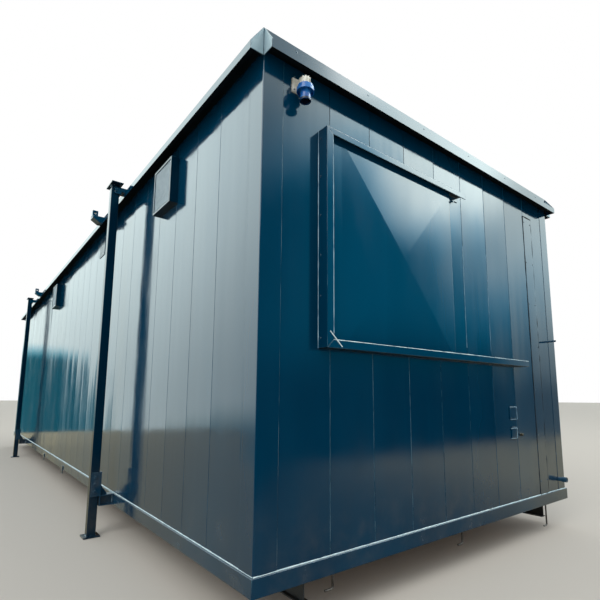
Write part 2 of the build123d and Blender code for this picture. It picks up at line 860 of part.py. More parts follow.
# Lifting points hooked over the eave, each a stepped arm with an eye block on its end
lug_side = leg_side.offset(lug_inset)
lug_arm_top = eave_top + top_arm_height
with BuildPart() as lifting_lugs:
    with BuildSketch(lug_side):
        with BuildLine():
            Polyline(
                (0, eave_top),
                (eave_reach, eave_top),
                (eave_reach, guide_bottom),
                (eave_reach + lug_arm_step, guide_bottom),
                (lug_arm_reach, eave_top + lug_arm_rise),
                (lug_arm_reach, lug_arm_top),
                (0, lug_arm_top),
                close=True,
            )
        make_face()
    extrude(amount=lug_arm_width / 2, both=True)
    with BuildSketch(lug_side):
        with Locations((lug_arm_reach, lug_arm_top)):
            Rectangle(lug_block, lug_block_height, align=(Align.MAX, Align.MIN))
        with Locations((lug_arm_reach - lug_block / 2, lug_arm_top + lug_stand)):
            Circle(lug_eye / 2, mode=Mode.SUBTRACT)
    extrude(amount=lug_plate / 2, both=True)
    block_top = lifting_lugs.edges().filter_by(Axis.X).sort_by(Axis.Z)[-2:]
    fillet(block_top, radius=lug_corner)
    mirror(about=Plane.XZ)
    mirror(about=middle_plane)
save(lifting_lugs.part, "lifting_lugs")

# Jack legs, standing on the ground and closed by a cap plate
cap_bottom = eave_top + top_arm_height + cap_clearance
rear_leg_x = 2 * middle_x - front_leg_x
for name, leg_x, facing in (
    ("jack_leg_front_left", front_leg_x, -1),
    ("jack_leg_front_right", front_leg_x, 1),
    ("jack_leg_rear_left", rear_leg_x, -1),
    ("jack_leg_rear_right", rear_leg_x, 1),
):
    with BuildPart() as jack_leg:
        with BuildSketch():
            with Locations((leg_x, facing * leg_y)):
                Rectangle(foot_size, foot_size)
        extrude(amount=foot_plate)
        with BuildSketch(Plane.XY.offset(foot_plate)):
            with Locations((leg_x, facing * leg_y)):
                RectangleRounded(leg_section, leg_section, leg_corner)
        extrude(amount=cap_bottom - foot_plate)
        with BuildSketch(Plane.XY.offset(cap_bottom)):
            with Locations((leg_x, facing * leg_y)):
                Rectangle(cap_length, cap_width)
        extrude(amount=cap_plate)
    save(jack_leg.part, name)
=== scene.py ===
import math
import random

import bmesh
import bpy
from mathutils import Matrix, Vector


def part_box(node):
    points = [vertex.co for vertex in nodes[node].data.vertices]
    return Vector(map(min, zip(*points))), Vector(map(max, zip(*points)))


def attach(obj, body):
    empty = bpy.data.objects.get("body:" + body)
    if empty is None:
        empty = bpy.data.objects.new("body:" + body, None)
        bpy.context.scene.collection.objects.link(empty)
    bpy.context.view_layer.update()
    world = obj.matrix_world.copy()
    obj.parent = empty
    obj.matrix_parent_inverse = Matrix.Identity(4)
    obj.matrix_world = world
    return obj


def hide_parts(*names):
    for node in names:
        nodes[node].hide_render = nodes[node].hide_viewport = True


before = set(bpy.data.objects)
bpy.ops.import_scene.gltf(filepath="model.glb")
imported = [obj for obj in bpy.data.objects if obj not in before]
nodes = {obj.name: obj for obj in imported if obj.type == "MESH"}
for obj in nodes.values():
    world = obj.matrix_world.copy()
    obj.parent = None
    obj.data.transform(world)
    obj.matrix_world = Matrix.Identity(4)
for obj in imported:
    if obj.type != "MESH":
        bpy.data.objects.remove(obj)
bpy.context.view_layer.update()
random.seed(7)

LEGS = ("front_left", "front_right", "rear_left", "rear_right")
MM = 0.001
PANEL = 309 * MM
FIRST_SIDE_PANEL = 325 * MM


# Materials
def linear(r, g, b):
    """An sRGB colour, 0 to 255, as linear light."""
    def one(c):
        c /= 255
        return c / 12.92 if c <= 0.04045 else ((c + 0.055) / 1.055) ** 2.4
    return (one(r), one(g), one(b), 1)


class Nodes:
    """Short calls for building a node tree."""

    def __init__(self, tree):
        self.tree = tree

    def add(self, kind, inputs=(), **props):
        node = self.tree.nodes.new(kind)
        for key, value in props.items():
            setattr(node, key, value)
        for key, value in dict(inputs).items():
            self.put(node.inputs[key], value)
        return node

    def put(self, socket, value):
        if isinstance(value, bpy.types.NodeSocket):
            self.tree.links.new(value, socket)
        else:
            socket.default_value = value

    def math(self, op, a, b):
        return self.add("ShaderNodeMath", {0: a, 1: b}, operation=op).outputs[0]

    def plus(self, a, b):
        return self.math("ADD", a, b)

    def minus(self, a, b):
        return self.math("SUBTRACT", a, b)

    def times(self, a, b):
        return self.math("MULTIPLY", a, b)

    def larger(self, a, b):
        return self.math("MAXIMUM", a, b)

    def ramp(self, value, low, high, start=0.0, end=1.0):
        """A smooth step from start, where value is low, to end, where it is high."""
        return self.add(
            "ShaderNodeMapRange",
            {"Value": value, "From Min": low, "From Max": high, "To Min": start, "To Max": end},
            interpolation_type="SMOOTHSTEP",
        ).outputs[0]

    def noise(self, scale, vector, detail=4.0, rough=0.55):
        inputs = {"Vector": vector, "Scale": scale, "Detail": detail, "Roughness": rough}
        return self.add("ShaderNodeTexNoise", inputs).outputs["Fac"]

    def mix(self, factor, a, b, **props):
        """Two colours mixed."""
        inputs = {"Factor": factor, 6: a, 7: b}
        return self.add("ShaderNodeMix", inputs, data_type="RGBA", **props).outputs[2]

    def blend(self, factor, a, b):
        """Two numbers mixed."""
        inputs = {"Factor": factor, 2: a, 3: b}
        return self.add("ShaderNodeMix", inputs, data_type="FLOAT").outputs[0]


class Surface(Nodes):
    """A material's node tree, with its shader and its object coordinates."""

    def __init__(self, name):
        self.mat = bpy.data.materials.new(name)
        self.mat.use_nodes = True
        super().__init__(self.mat.node_tree)
        self.shader = self.tree.nodes["Principled BSDF"]
        self.coords = self.add("ShaderNodeTexCoord").outputs["Object"]

    def set(self, **values):
        for key, value in values.items():
            self.put(self.shader.inputs[key.replace("_", " ")], value)

    def stretch(self, x, y, z):
        return self.add("ShaderNodeMapping", {"Vector": self.coords, "Scale": (x, y, z)}).outputs[0]

    def grain(self, scale, stretch=None, detail=4.0):
        """Noise in the object's own coordinates, drawn out where stretch says so."""
        vector = self.stretch(*stretch) if stretch else self.coords
        return self.noise(scale, vector, detail)

    def axis(self, which):
        return self.add("ShaderNodeSeparateXYZ", {0: self.coords}).outputs[which]

    def bump(self, height, distance, strength=1.0, normal=None):
        inputs = {"Height": height, "Distance": distance, "Strength": strength}
        if normal is not None:
            inputs["Normal"] = normal
        return self.add("ShaderNodeBump", inputs).outputs[0]

    def edge(self, radius):
        """Normal of softly rounded edges, and a mask that is 1 on them."""
        soft = self.add("ShaderNodeBevel", {"Radius": radius}, samples=4).outputs[0]
        flat = self.add("ShaderNodeNewGeometry").outputs["Normal"]
        dot = self.add("ShaderNodeVectorMath", {0: soft, 1: flat}, operation="DOT_PRODUCT")
        return soft, self.ramp(dot.outputs["Value"], 0.97, 0.75)


NAVY = linear(0, 48, 74)
NAVY_LIGHT = linear(2, 61, 87)
NAVY_DARK = linear(0, 37, 59)
SHADE = linear(0, 14, 26)
DUST = linear(122, 116, 104)
# RIM is the light colour of rims rubbed bare, and of the painted highlight on them.
RIM = linear(120, 165, 182)


def paint(name, along=None, first=0.0, **look):
    """Gloss navy paint. along, 0 or 1, is the axis that a panelled wall runs on.

    lean: how far each panel's sheet turns. wear, dust, deep: shares of rims rubbed bare
    and lit by a painted highlight, of dust near the ground and of painted shade. fold: radius of
    soft edges. band: height of the sheet's bands.
    """
    look = {
        "lean": 0.004, "wear": 0.35, "dust": 0.12, "fold": 3 * MM, "rough": (0.08, 0.16),
        "deep": 0.0, "shine": 0.5, "band": 1.6 * MM, **look,
    }
    n = Surface(name)
    normal = n.add("ShaderNodeNewGeometry").outputs["Normal"]
    under = n.ramp(n.add("ShaderNodeSeparateXYZ", {0: normal}).outputs[2], -0.6, -0.9)
    broad = n.grain(0.9, (1, 1, 0.35))
    tone = n.mix(n.ramp(broad, 0.35, 0.7), NAVY_DARK, NAVY_LIGHT)
    tone = n.mix(0.6, tone, NAVY)
    streaks = n.grain(16.0, (1, 1, 0.03), 3.0)
    tone = n.mix(n.times(n.ramp(streaks, 0.55, 0.8), 0.14), tone, NAVY_LIGHT)
    splash = n.times(n.ramp(n.axis(2), 0.7, 0.2), n.ramp(n.grain(7.0), 0.4, 0.8))
    tone = n.mix(n.times(splash, look["dust"]), tone, DUST)
    # Painted shade: faces that look down darken towards SHADE, and the shade share darkens the
    # whole surface.
    tone = n.mix(n.larger(n.times(under, 0.85), look["deep"]), tone, SHADE)
    soft = None
    if look["fold"]:
        # Rounded rims turn towards RIM in patches: rubbed paint and a painted highlight.
        soft, rim = n.edge(look["fold"])
        rubbed_and_lit = n.times(rim, n.ramp(n.grain(9.0), 0.4, 0.65))
        tone = n.mix(n.times(rubbed_and_lit, look["wear"]), tone, RIM)
    blotch = n.grain(3.5, (1, 1, 0.5))
    rough = n.ramp(blotch, 0.35, 0.75, *look["rough"])
    rough = n.plus(n.plus(rough, n.times(splash, 0.25)), n.times(under, 0.2))
    normal = n.bump(n.grain(260.0, detail=2.0), 0.012 * MM, 0.4, soft)
    waves = n.grain(1.1, (1, 1, 0.6), 1.0)
    if along is None:
        normal = n.bump(waves, 2 * MM, 1.0, normal)
    else:
        bands = n.grain(5.0, (1, 1, 0.06), 2.0)
        normal = n.bump(bands, look["band"], 1.0, normal)
        normal = n.bump(waves, 8 * MM, 1.0, normal)
        place = n.math("DIVIDE", n.minus(n.axis(along), first), PANEL)
        panel = n.math("FLOOR", place, 0.0)
        inside = n.minus(place, panel)
        turn = n.add("ShaderNodeTexWhiteNoise", {"W": panel}, noise_dimensions="1D").outputs[0]
        middle = n.minus(inside, 0.5)
        dish = n.times(n.minus(n.grain(0.7), 0.42), n.times(middle, middle))
        sheet = n.plus(n.times(n.minus(turn, 0.5), inside), n.times(dish, 9.0))
        normal = n.bump(sheet, PANEL * look["lean"] * 2, 1.0, normal)
    n.set(Base_Color=tone, Roughness=rough, Normal=normal)
    n.set(IOR=1.5, Specular_IOR_Level=look["shine"])
    return n.mat


def plain(name, low, high, scale=30.0, rough=(0.3, 0.5), bump=0.1, metal=0.0, shine=0.5):
    """A surface whose colour, roughness and relief vary with two scales of noise."""
    n = Surface(name)
    low, high = linear(*low), linear(*high)
    spread = n.grain(scale)
    # Rounded edges go a quarter of the way to the lighter colour: a painted highlight.
    soft, rim = n.edge(1.2 * MM)
    colour = n.mix(n.ramp(spread, 0.3, 0.7), low, high)
    n.set(
        Base_Color=n.mix(n.times(rim, 0.25), colour, high),
        Roughness=n.ramp(spread, 0.3, 0.7, *rough),
        Normal=n.bump(n.grain(scale * 14, detail=3.0), bump * MM, 0.6, soft),
    )
    n.set(Metallic=metal, Specular_IOR_Level=shine)
    return n.mat


def wood(name):
    """Boards with their grain along x."""
    n = Surface(name)
    rings = n.grain(5.0, (0.4, 9, 9), 6.0)
    colour = n.mix(n.ramp(rings, 0.3, 0.7), linear(120, 88, 58), linear(176, 138, 96))
    n.set(Base_Color=colour, Roughness=n.ramp(rings, 0.3, 0.7, 0.5, 0.8))
    n.set(Normal=n.bump(rings, 0.4 * MM, 0.6))
    return n.mat


def glass(name):
    """Clear glass with faint smears."""
    n = Surface(name)
    smears = n.grain(6.0)
    n.set(
        Base_Color=n.mix(smears, linear(196, 214, 214), linear(224, 234, 234)),
        Roughness=n.ramp(smears, 0.35, 0.75, 0.02, 0.12),
        Normal=n.bump(n.grain(3.0), 0.3 * MM, 0.3),
    )
    n.set(Transmission_Weight=0.9, IOR=1.45)
    return n.mat


# Places on the cabin, from the boxes of its nodes
rail_low, rail_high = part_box("left_rail")
rear_x, front_x = rail_low.x, rail_high.x
left_y, right_y = rail_low.y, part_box("right_rail")[1].y
side_low, side_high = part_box("left_wall")
end_low, end_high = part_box("front_wall")
wall_left, wall_right = side_low.y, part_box("right_wall")[1].y
wall_rear, wall_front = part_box("rear_wall")[0].x, end_high.x
ledge_z, eave_z = side_low.z, end_high.z
fascia_low, fascia_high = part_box("front_fascia")
lip_y, lip_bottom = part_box("right_fascia")[1].y, fascia_low.z
roof_edge_z = fascia_high.z
post_low, post_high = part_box("shutter_post")
track_low, track_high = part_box("shutter_bottom_rail")
strip_low, strip_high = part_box("cover_strip")
side_first = side_high.x - FIRST_SIDE_PANEL - 40 * PANEL

PAINT = paint("navy_gloss")
PAINT_END = paint("navy_gloss_end_panels", 1, end_low.y, lean=0.003, band=0.8 * MM)
PAINT_SIDE = paint("navy_gloss_side_panels", 0, side_first)
# The trims' and fittings' rims carry more rubbed paint and more painted highlight.
PAINT_TRIM = paint("navy_gloss_folds", wear=0.5, fold=5 * MM)
PAINT_FASCIA = paint("navy_gloss_fascias", fold=0.0, rough=(0.1, 0.15), shine=0.42)
# The legs and vent boxes: navy darkened by painted shade over the whole surface.
PAINT_SHADED = paint("navy_gloss_shaded", wear=0.5, dust=0.35, deep=0.6, shine=0.2)
PAINT_SMALL = paint("navy_gloss_fittings", wear=0.6, dust=0.35)
# Light blue-grey: a painted reflection of the sky on the fascias' corner plates.
CORNER_REFLECTION = plain("corner_sky_reflection", (100, 132, 146), (146, 168, 176), 7, (0.3, 0.42), 0.1)
# Near-black: painted shade under the eaves.
SHADE_FILM = plain("eave_shade_paint", (3, 9, 14), (8, 18, 24), 9, (0.8, 0.95), 0.3, shine=0.06)
JOINT = plain("joint_edge_highlight", (40, 90, 116), (104, 146, 164), 16, (0.25, 0.4), 0.1)
# Light blue-grey beads on edges, seams and welds: a painted highlight.
EDGE = plain("edge_painted_highlight", (96, 134, 158), (158, 188, 202), 14, (0.25, 0.4), 0.1)
PALE = plain("pale_edge_highlight", (170, 198, 206), (222, 236, 238), 14, (0.25, 0.4), 0.1)
BEAD = plain("ledge_sealant_sheen", (176, 202, 206), (214, 230, 230), 40, (0.35, 0.6), 0.4)
WELD = plain("painted_weld", (20, 66, 92), (110, 150, 166), 120, (0.25, 0.45), 0.6)
BLACK = plain("chassis_black", (18, 20, 22), (44, 46, 48), 12, (0.4, 0.7), 0.3)
ROOF = plain("roof_felt", (112, 116, 118), (148, 150, 150), 3, (0.6, 0.9), 0.8)
UPVC = plain("window_plastic", (214, 214, 208), (236, 236, 232), 8, (0.2, 0.35), 0.05)
ALLOY = plain("alloy", (150, 152, 154), (196, 198, 200), 30, (0.25, 0.4), 0.05, 1.0)
SHELL = plain("inlet_white", (206, 204, 188), (236, 236, 228), 26, (0.3, 0.5), 0.2)
BLUE = plain("inlet_blue", (4, 72, 150), (34, 116, 186), 30, (0.2, 0.4), 0.1)
MOUTH = plain("inlet_mouth_shade", (4, 12, 34), (12, 30, 62), 60, (0.3, 0.5), 0.1)
SEAM = plain("seam_sealant_highlight", (86, 130, 146), (158, 192, 200), 26, (0.3, 0.5), 0.3)
RIDGE = plain("joint_ridge_paint", (6, 60, 88), (48, 100, 124), 18, (0.2, 0.35), 0.1)
ROOF_LAP = plain("roof_lap_tape", (96, 100, 102), (132, 134, 134), 6, (0.6, 0.85), 0.6)
# Near-black: painted shade behind holes and inside the inlet's bore.
DARK = plain("dark_void", (6, 8, 10), (20, 22, 26), 40, (0.5, 0.8), 0.1)
PIPE = plain("pipe_navy", (6, 48, 74), (24, 72, 98), 60, (0.3, 0.5), 0.2)
BRASS = plain("brass_dull", (62, 58, 50), (104, 96, 82), 50, (0.4, 0.6), 0.2, 1.0)
RUST = plain("weathered_steel", (58, 52, 48), (118, 112, 106), 60, (0.45, 0.7), 0.6, 0.6)
RUBBER = plain("black_rubber", (16, 16, 17), (34, 34, 36), 60, (0.5, 0.75), 0.2)
PERF = plain("vent_sheet", (104, 124, 138), (146, 162, 172), 30, (0.35, 0.5), 0.1)
ZINC = plain("zinc_screw", (150, 156, 160), (200, 204, 206), 80, (0.3, 0.5), 0.1, 1.0)
TIMBER = wood("floor_timber")
PANE = glass("window_pane")

CAD_LOOKS = {
    "chassis_beams": BLACK, "floor_joists": TIMBER, "floor_deck": TIMBER, "roof_deck": ROOF,
    "window_frame": UPVC, "window_glass": PANE, "door_handle": ALLOY, "power_inlet": SHELL,
    "inlet_socket": BLUE, "drain_pipes": PIPE, "tap_stub": BRASS, "hook_bolts": RUST,
    "rail_brackets": PAINT_SMALL, "front_wall": PAINT_END, "rear_wall": PAINT_END,
    "left_wall": PAINT_SIDE, "right_wall": PAINT_SIDE, "base_brackets": PAINT_SMALL,
    "top_brackets": PAINT_SMALL, "lifting_lugs": PAINT_SMALL, "vent_boxes": PAINT_SHADED,
    "shutter_post": PAINT_TRIM, "shutter_bottom_rail": PAINT_TRIM,
    "shutter_top_rail": PAINT_TRIM,
}
for side in ("left", "right", "front", "rear"):
    CAD_LOOKS[side + "_rail"] = PAINT_TRIM
    CAD_LOOKS[side + "_fascia"] = PAINT_FASCIA
for leg in LEGS:
    CAD_LOOKS["jack_leg_" + leg] = PAINT_SHADED
for name, node in nodes.items():
    node.data.materials.clear()
    node.data.materials.append(CAD_LOOKS.get(name, PAINT))


# Mesh helpers
def piece(name, bm, material, body="cabin", bevel=0.0):
    """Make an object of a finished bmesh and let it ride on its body."""
    mesh = bpy.data.meshes.new(name)
    bmesh.ops.recalc_face_normals(bm, faces=bm.faces)
    bm.to_mesh(mesh)
    bm.free()
    obj = bpy.data.objects.new(name, mesh)
    bpy.context.scene.collection.objects.link(obj)
    mesh.materials.append(material)
    if bevel:
        mod = obj.modifiers.new("bevel", "BEVEL")
        mod.width = bevel
        mod.segments = 2
        mod.limit_method = "ANGLE"
    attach(obj, body)
    return obj


def block(bm, low, high):
    """A box from its two corners."""
    low, high = Vector(low), Vector(high)
    size = high - low
    matrix = Matrix.Translation((low + high) / 2) @ Matrix.Diagonal((*size, 1))
    bmesh.ops.create_cube(bm, size=1, matrix=matrix)


def tube(bm, rings):
    """Joins rings of vertices, each to the next, with four-sided faces."""
    for a, b in zip(rings, rings[1:]):
        for k in range(len(a)):
            j = (k + 1) % len(a)
            bm.faces.new((a[k], a[j], b[j], b[k]))


def turned(bm, base, outward, profile, sides=12, open_ring=False):
    """A round form from (radius, height) pairs: closed at both ends, or an open ring."""
    base, outward = Vector(base), Vector(outward).normalized()
    turn = Vector((0, 0, 1)).rotation_difference(outward).to_matrix()
    rings = []
    for radius, height in profile:
        ring = []
        for k in range(sides):
            angle = 2 * math.pi * (k + 0.5) / sides
            spot = Vector((radius * math.cos(angle), radius * math.sin(angle), height))
            ring.append(bm.verts.new(base + turn @ spot))
        rings.append(ring)
    if open_ring:
        rings.append(rings[0])
    tube(bm, rings)
    if not open_ring:
        bm.faces.new(rings[0])
        bm.faces.new(rings[-1])


def screw(bm, base, outward, radius=5 * MM):
    """A low pan-head screw with its washer."""
    turned(bm, base, outward, (
        (radius * 1.5, 0), (radius * 1.5, radius * 0.25), (radius, radius * 0.3),
        (radius * 0.95, radius * 0.75), (radius * 0.6, radius),
    ))


def extruded(bm, outline, start, run):
    """A closed prism: outline is a list of corners about start, swept along run."""
    start, run = Vector(start), Vector(run)
    near = [bm.verts.new(start + Vector(corner)) for corner in outline]
    far = [bm.verts.new(start + run + Vector(corner)) for corner in outline]
    bm.faces.new(near)
    bm.faces.new(far)
    tube(bm, [near, far])


def bead(bm, start, end, radius, step, jitter, sides=6):
    """A wavering round bead along a straight line, closed at both ends."""
    start, end = Vector(start), Vector(end)
    run = end - start
    count = max(2, int(run.length / step))
    turn = Vector((0, 0, 1)).rotation_difference(run).to_matrix()
    rings = []
    for i in range(count + 1):
        centre = start + run * (i / count)
        size = radius * (1 + jitter * random.uniform(-1, 1))
        ring = []
        for k in range(sides):
            angle = 2 * math.pi * k / sides
            spot = Vector((math.cos(angle) * size, math.sin(angle) * size, 0))
            ring.append(bm.verts.new(centre + turn @ spot))
        rings.append(ring)
    tube(bm, rings)
    bm.faces.new(rings[0])
    bm.faces.new(rings[-1])


def bead_up(bm, x, y, low_z, high_z, *form):
    """An upright bead. form is its radius, step and jitter."""
    bead(bm, (x, y, low_z), (x, y, high_z), *form)


def bead_across(bm, x, low_y, high_y, z, *form):
    """A level bead along y."""
    bead(bm, (x, low_y, z), (x, high_y, z), *form)


def punched(bm, backing, low, side, cells, share):
    """A square plate with an eight-sided hole in each cell, and a dark sheet behind it: painted
    shade seen through the holes.
    """
    cell = side / cells
    half = cell / 2
    for i in range(cells):
        for k in range(cells):
            cx, cz = low.x + (i + 0.5) * cell, low.z + (k + 0.5) * cell
            hole, rim = [], []
            for a in range(8):
                angle = math.pi / 8 + a * math.pi / 4
                across, up = math.cos(angle), math.sin(angle)
                reach = cell * share
                hole.append(bm.verts.new((cx + across * reach, low.y, cz + up * reach)))
                reach = half / max(abs(across), abs(up))
                rim.append(bm.verts.new((cx + across * reach, low.y, cz + up * reach)))
            for a in range(8):
                b = (a + 1) % 8
                bm.faces.new((rim[a], rim[b], hole[b], hole[a]))
                if a % 2 == 0:
                    angle = math.pi / 4 + a * math.pi / 4
                    corner_x = cx + math.copysign(half, math.cos(angle))
                    corner_z = cz + math.copysign(half, math.sin(angle))
                    corner = bm.verts.new((corner_x, low.y, corner_z))
                    bm.faces.new((rim[a], corner, rim[b]))
    behind, depth = low.y + 2.2 * MM, 1.8 * MM
    block(backing, (low.x, behind, low.z), (low.x + side, behind + depth, low.z + side))


def plate_piece(name, bm, node, material):
    """Gives a punched plate its thickness and lets it stand for a node."""
    bmesh.ops.remove_doubles(bm, verts=bm.verts, dist=1e-5)
    obj = piece(name, bm, material)
    solid = obj.modifiers.new("thickness", "SOLIDIFY")
    solid.thickness = 1.2 * MM
    solid.offset = 0
    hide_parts(node)


def in_mm(*pairs):
    """Pairs of millimetres, in metres."""
    return [(a * MM, b * MM) for a, b in pairs]


def spread(low, high, pitch):
    """Evenly spaced places from low to high, about a pitch apart."""
    count = max(1, round((high - low) / pitch))
    return [low + (high - low) * k / count for k in range(count + 1)]


# Sealant beads on the base ledge, pale: sealant with a painted reflection of the sky
bm = bmesh.new()
form = (4 * MM, 0.03, 0.25)
inset = 12 * MM
for y in (wall_left, wall_right):
    bead(bm, (rear_x + inset, y, ledge_z), (front_x - inset, y, ledge_z), *form)
for x in (wall_front, wall_rear):
    bead_across(bm, x, left_y + inset, right_y - inset, ledge_z, *form)
piece("ledge_sealant_sheen", bm, BEAD)

# Punched vent sheets and wall grille
sheet_low, sheet_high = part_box("vent_sheets")
side = 290 * MM
bm, backing = bmesh.new(), bmesh.new()
for low_x in (sheet_low.x, sheet_high.x - side):
    punched(bm, backing, Vector((low_x, sheet_low.y, sheet_low.z)), side, 22, 0.37)
plate_piece("vent_perforated_sheets", bm, "vent_sheets", PERF)
piece("vent_shade_backing", backing, DARK)

grille_low, grille_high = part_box("wall_grille")
bm, backing = bmesh.new(), bmesh.new()
face = grille_low + Vector((0, 0.6 * MM, 0))
punched(bm, backing, face, grille_high.x - grille_low.x, 9, 0.33)
plate_piece("grille_perforated", bm, "wall_grille", PAINT)
piece("grille_shade_backing", backing, DARK)
bm = bmesh.new()
rim = 1.5 * MM
rim_y = grille_low.y + 1.2 * MM
for low_x, high_x, low_z, high_z in (
    (grille_low.x, grille_low.x + rim, grille_low.z, grille_high.z),
    (grille_high.x - rim, grille_high.x, grille_low.z, grille_high.z),
    (grille_low.x + rim, grille_high.x - rim, grille_low.z, grille_low.z + rim),
    (grille_low.x + rim, grille_high.x - rim, grille_high.z - rim, grille_high.z),
):
    block(bm, (low_x, rim_y, low_z), (high_x, grille_high.y, high_z))
piece("grille_rim", bm, PAINT)

# Seams at the corner posts and beside the shutter
bright, dull, rubbed_and_lit = bmesh.new(), bmesh.new(), bmesh.new()
form = (1.3 * MM, 0.08, 0.3)
middle_x = (front_x + rear_x) / 2
seam_low, seam_high = ledge_z + 10 * MM, eave_z - 10 * MM
for way_x in (1, -1):
    for way_y in (1, -1):
        # Only the near front corner's seams are pale, a painted highlight; the others take the wall
        # paint.
        target = bright if way_x > 0 > way_y else dull
        end_x = middle_x + way_x * (wall_front - middle_x)
        bead_up(target, end_x, way_y * end_high.y, seam_low, seam_high, *form)
        side_x = middle_x + way_x * (side_high.x - middle_x)
        bead_up(target, side_x, way_y * wall_right, seam_low, seam_high, *form)
# A light bead on the seam beside the shutter's post: a painted highlight.
bead_up(rubbed_and_lit, wall_front, post_low.y, post_low.z, post_high.z, 2.6 * MM, 0.03, 0.35)
piece("corner_seam", bright, SEAM)
piece("post_seams", dull, PAINT)
piece("shutter_frame_seam", rubbed_and_lit, EDGE)

# Ridges along the end wall's panel joints, three of them under the shutter
SHUTTER_JOINTS = 3
GLINT_RADII = {3: 1.3 * MM, 4: 2.0 * MM, 5: 1.4 * MM}
GLINT_LOW, GLINT_HIGH = 1.38, 2.1
ridges, near_ridges, mid_ridges = bmesh.new(), bmesh.new(), bmesh.new()
for k in range(int((end_high.y - end_low.y) / PANEL) - 1):
    joint_y = end_low.y + (k + 1) * PANEL - 2 * MM
    target, top = ridges, seam_high
    # The three joints under the shutter get light ridges: a painted highlight on their edges.
    if k < SHUTTER_JOINTS:
        target, top = near_ridges, track_low.z
    bead_up(target, wall_front, joint_y, ledge_z + 5 * MM, top, 0.8 * MM, 0.1, 0.3)
    # Short light ridges on three joints higher up: a painted highlight.
    if k in GLINT_RADII:
        form = (GLINT_RADII[k], 0.1, 0.4)
        bead_up(mid_ridges, wall_front, joint_y, GLINT_LOW, GLINT_HIGH, *form)
piece("joint_ridges_near", near_ridges, JOINT)
piece("joint_ridges", ridges, RIDGE)
piece("joint_ridges_glint", mid_ridges, EDGE)

# Black sealant beads round the cover strip, made wide to draw its shadow lines: sealant and painted
# shade.
bm = bmesh.new()
for y in (strip_low.y, strip_high.y):
    bead_up(bm, wall_front, y, strip_low.z + 4 * MM, strip_high.z, 4 * MM, 0.05, 0.5)
bead_across(bm, wall_front, strip_low.y, strip_high.y, strip_high.z, 6 * MM, 0.03, 0.3)
piece("strip_sealant_shade", bm, RUBBER)

# Screws
plate_low, plate_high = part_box("service_plates")
bm = bmesh.new()
screw_z = roof_edge_z - 30 * MM
corner, side_pitch, end_pitch = 200 * MM, 600 * MM, 500 * MM
for x in spread(rear_x + corner, front_x - corner, side_pitch):
    for way in (1, -1):
        screw(bm, (x, way * right_y, screw_z), (0, way, 0))
for y in spread(left_y + corner, right_y - corner, end_pitch):
    screw(bm, (front_x, y, screw_z), (1, 0, 0))
    screw(bm, (rear_x, y, screw_z), (-1, 0, 0))
for z in spread(post_low.z + 50 * MM, post_high.z - 50 * MM, 200 * MM):
    screw(bm, (wall_front + 18 * MM, post_low.y, z), (0, -1, 0), 4 * MM)
for z in spread(ledge_z + 100 * MM, strip_high.z - 50 * MM, 350 * MM):
    for y in (strip_low.y + 14 * MM, strip_high.y - 14 * MM):
        screw(bm, (strip_high.x, y, z), (1, 0, 0), 3.5 * MM)
for y in (plate_low.y + 10 * MM, plate_high.y - 18 * MM):
    for z in (
        plate_low.z + 9 * MM, plate_low.z + 64 * MM, plate_high.z - 81 * MM, plate_high.z - 9 * MM,
    ):
        screw(bm, (plate_high.x, y, z), (1, 0, 0), 3 * MM)
for x in (grille_low.x + 7 * MM, grille_high.x - 7 * MM):
    for z in (grille_low.z + 20 * MM, grille_high.z - 20 * MM):
        screw(bm, (x, grille_low.y, z), (0, -1, 0), 3 * MM)
piece("panel_screws", bm, PAINT_SMALL)

# Weld and edges of the shutter's frame, drawn pale or light as a painted highlight
WELD_START, WELD_END_Y = (-1.147, 1.362), -1.068
bm = bmesh.new()
face_x = track_high.x
weld_end = (face_x, WELD_END_Y, track_low.z + 8 * MM)
bead(bm, (face_x, *WELD_START), weld_end, 3 * MM, 0.012, 0.35)
edge_y = (post_high.y - 4 * MM, track_high.y - 4 * MM)
bead_across(bm, face_x - 1.5 * MM, *edge_y, track_high.z, 2 * MM, 0.05, 0.25)
piece("shutter_frame_weld", bm, PALE)
bm = bmesh.new()
edge_z = (track_high.z + 30 * MM, post_high.z - 40 * MM)
bead_up(bm, face_x, post_high.y, *edge_z, 2 * MM, 0.05, 0.3)
piece("shutter_post_edge", bm, EDGE)

# Welds of the brackets, lugs and legs, all with the same short ripples
RIPPLE = (8 * MM, 0.4)
bm = bmesh.new()
arm_low, arm_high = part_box("base_brackets")[0].z, ledge_z
for leg in LEGS:
    low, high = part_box("jack_leg_" + leg)
    x = (low.x + high.x) / 2
    way = 1 if low.y > 0 else -1
    y = way * right_y
    for z in (arm_low, arm_high):
        bead(bm, (x - 42 * MM, y, z), (x + 42 * MM, y, z), 4 * MM, *RIPPLE)
    for off in (-5 * MM, 5 * MM):
        ends = (arm_low + 12 * MM, arm_high - 12 * MM)
        bead_up(bm, x + off, y, *ends, 2.8 * MM, *RIPPLE)
    for off in (-42.5 * MM, 42.5 * MM):
        bead_across(bm, x + off, y, y + way * 70 * MM, eave_z + 2 * MM, 2.8 * MM, *RIPPLE)
lug_low, lug_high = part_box("lifting_lugs")
arm_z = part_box("top_brackets")[1].z
for x in (lug_low.x + 50 * MM, lug_high.x - 50 * MM):
    for way in (1, -1):
        for out in (100 * MM, 150 * MM):
            y = way * (right_y + out)
            bead(bm, (x - 20 * MM, y, arm_z), (x + 20 * MM, y, arm_z), 3.2 * MM, *RIPPLE)
# The brackets' and lugs' welds take the light edge colour: a painted highlight.
piece("bracket_welds", bm, EDGE)

